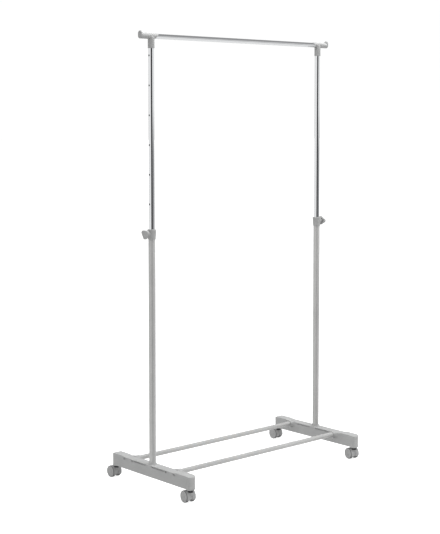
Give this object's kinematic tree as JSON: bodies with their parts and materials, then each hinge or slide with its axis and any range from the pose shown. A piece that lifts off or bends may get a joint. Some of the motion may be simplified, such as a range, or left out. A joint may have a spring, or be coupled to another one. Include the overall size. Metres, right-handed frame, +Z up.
{
  "type": "rolling clothes rack",
  "caption": "Height-adjustable rolling clothes rack: chrome hanging rail on telescopic uprights, moulded base beams joined by cross tubes, swivelling twin-wheel casters.",
  "frame": {"origin": "on the floor, at the centre of the bounding box of the rack at full height with its casters trailing to the back", "axes": "+X along the rail to the right, +Y from the front to the back, +Z up"},
  "size_m": [1.009, 0.504, 1.751],
  "materials": {
    "grey_plastic": "moulded, fine satin texture",
    "grey_paint": "satin powder coat",
    "chrome": "bright chrome plate",
    "zinc_steel": "zinc plated",
    "brass": "turned",
    "dark_plastic": "moulded, plain",
    "caster_plastic": "moulded, satin"
  },
  "bodies": {
    "lower_frame": {"base_beam_left": "grey_plastic", "lower_tube_left": "grey_paint", "upright_plug_left": "zinc_steel", "upright_bolt_left": "zinc_steel", "collar_left": "grey_plastic", "thread_insert_left": "brass", "base_beam_right": "grey_plastic", "lower_tube_right": "grey_paint", "upright_plug_right": "zinc_steel", "upright_bolt_right": "zinc_steel", "collar_right": "grey_plastic", "thread_insert_right": "brass", "cross_tube_front": "grey_paint", "cross_tube_back": "grey_paint", "cross_plug_front_left": "dark_plastic", "cross_screw_front_left": "zinc_steel", "caster_socket_front_left": "zinc_steel", "cross_plug_front_right": "dark_plastic", "cross_screw_front_right": "zinc_steel", "caster_socket_front_right": "zinc_steel", "cross_plug_back_left": "dark_plastic", "cross_screw_back_left": "zinc_steel", "caster_socket_back_left": "zinc_steel", "cross_plug_back_right": "dark_plastic", "cross_screw_back_right": "zinc_steel", "caster_socket_back_right": "zinc_steel"},
    "upper_frame": {"hanging_rail": "chrome", "upper_tube_left": "chrome", "tube_glide_left": "dark_plastic", "tee_left": "grey_plastic", "upper_tube_right": "chrome", "tube_glide_right": "dark_plastic", "tee_right": "grey_plastic"},
    "lock_screw_left": {"lock_screw_left": "zinc_steel"},
    "knob_left": {"knob_left": "grey_plastic"},
    "lock_screw_right": {"lock_screw_right": "zinc_steel"},
    "knob_right": {"knob_right": "grey_plastic"},
    "caster_front_left": {"caster_housing_front_left": "caster_plastic", "caster_stem_front_left": "zinc_steel", "caster_axle_front_left": "zinc_steel"},
    "wheel_front_left_outer": {"wheel_front_left_outer": "caster_plastic"},
    "wheel_front_left_inner": {"wheel_front_left_inner": "caster_plastic"},
    "caster_front_right": {"caster_housing_front_right": "caster_plastic", "caster_stem_front_right": "zinc_steel", "caster_axle_front_right": "zinc_steel"},
    "wheel_front_right_outer": {"wheel_front_right_outer": "caster_plastic"},
    "wheel_front_right_inner": {"wheel_front_right_inner": "caster_plastic"},
    "caster_back_left": {"caster_housing_back_left": "caster_plastic", "caster_stem_back_left": "zinc_steel", "caster_axle_back_left": "zinc_steel"},
    "wheel_back_left_outer": {"wheel_back_left_outer": "caster_plastic"},
    "wheel_back_left_inner": {"wheel_back_left_inner": "caster_plastic"},
    "caster_back_right": {"caster_housing_back_right": "caster_plastic", "caster_stem_back_right": "zinc_steel", "caster_axle_back_right": "zinc_steel"},
    "wheel_back_right_outer": {"wheel_back_right_outer": "caster_plastic"},
    "wheel_back_right_inner": {"wheel_back_right_inner": "caster_plastic"}
  },
  "joints": [
    {"name": "height_slide", "type": "slide", "parent": "lower_frame", "child": "upper_frame", "axis": [0, 0, 1], "range_m": [-0.672, 0]},
    {"name": "lock_screw_left_slide", "type": "slide", "parent": "lower_frame", "child": "lock_screw_left", "axis": [1, 0, 0], "range_m": [-0.00125, 0.0031]},
    {"name": "knob_left_turn", "type": "hinge", "parent": "lock_screw_left", "child": "knob_left", "pos_m": [-0.48205, -0.016, 0.98765], "axis": [1, 0, 0], "range_deg": [-360, 890]},
    {"name": "lock_screw_right_slide", "type": "slide", "parent": "lower_frame", "child": "lock_screw_right", "axis": [-1, 0, 0], "range_m": [-0.00125, 0.0031]},
    {"name": "knob_right_turn", "type": "hinge", "parent": "lock_screw_right", "child": "knob_right", "pos_m": [0.48205, -0.016, 0.98765], "axis": [-1, 0, 0], "range_deg": [-360, 890]},
    {"name": "caster_front_left_swivel", "type": "hinge", "parent": "lower_frame", "child": "caster_front_left", "pos_m": [-0.45, -0.242, 0.06], "axis": [0, 0, 1], "continuous": true},
    {"name": "wheel_front_left_outer_spin", "type": "hinge", "parent": "caster_front_left", "child": "wheel_front_left_outer", "pos_m": [-0.46243, -0.22159, 0.02265], "axis": [0.9945, -0.1045, 0], "continuous": true},
    {"name": "wheel_front_left_inner_spin", "type": "hinge", "parent": "caster_front_left", "child": "wheel_front_left_inner", "pos_m": [-0.43359, -0.22462, 0.02265], "axis": [0.9945, -0.1045, 0], "continuous": true},
    {"name": "caster_front_right_swivel", "type": "hinge", "parent": "lower_frame", "child": "caster_front_right", "pos_m": [0.45, -0.242, 0.06], "axis": [0, 0, 1], "continuous": true},
    {"name": "wheel_front_right_outer_spin", "type": "hinge", "parent": "caster_front_right", "child": "wheel_front_right_outer", "pos_m": [0.46758, -0.22581, 0.02265], "axis": [0.9848, -0.1736, 0], "continuous": true},
    {"name": "wheel_front_right_inner_spin", "type": "hinge", "parent": "caster_front_right", "child": "wheel_front_right_inner", "pos_m": [0.43902, -0.22077, 0.02265], "axis": [0.9848, -0.1736, 0], "continuous": true},
    {"name": "caster_back_left_swivel", "type": "hinge", "parent": "lower_frame", "child": "caster_back_left", "pos_m": [-0.45, 0.21, 0.06], "axis": [0, 0, 1], "continuous": true},
    {"name": "wheel_back_left_outer_spin", "type": "hinge", "parent": "caster_back_left", "child": "wheel_back_left_outer", "pos_m": [-0.4645, 0.229, 0.02265], "axis": [1, 0, 0], "continuous": true},
    {"name": "wheel_back_left_inner_spin", "type": "hinge", "parent": "caster_back_left", "child": "wheel_back_left_inner", "pos_m": [-0.4355, 0.229, 0.02265], "axis": [1, 0, 0], "continuous": true},
    {"name": "caster_back_right_swivel", "type": "hinge", "parent": "lower_frame", "child": "caster_back_right", "pos_m": [0.45, 0.21, 0.06], "axis": [0, 0, 1], "continuous": true},
    {"name": "wheel_back_right_outer_spin", "type": "hinge", "parent": "caster_back_right", "child": "wheel_back_right_outer", "pos_m": [0.4645, 0.229, 0.02265], "axis": [1, 0, 0], "continuous": true},
    {"name": "wheel_back_right_inner_spin", "type": "hinge", "parent": "caster_back_right", "child": "wheel_back_right_inner", "pos_m": [0.4355, 0.229, 0.02265], "axis": [1, 0, 0], "continuous": true}
  ],
  "couplings": [
    {"joint": "lock_screw_left_slide", "follows": "knob_left_turn", "m_per_rad": 0.00019894},
    {"joint": "lock_screw_right_slide", "follows": "knob_right_turn", "m_per_rad": 0.00019894}
  ]
}
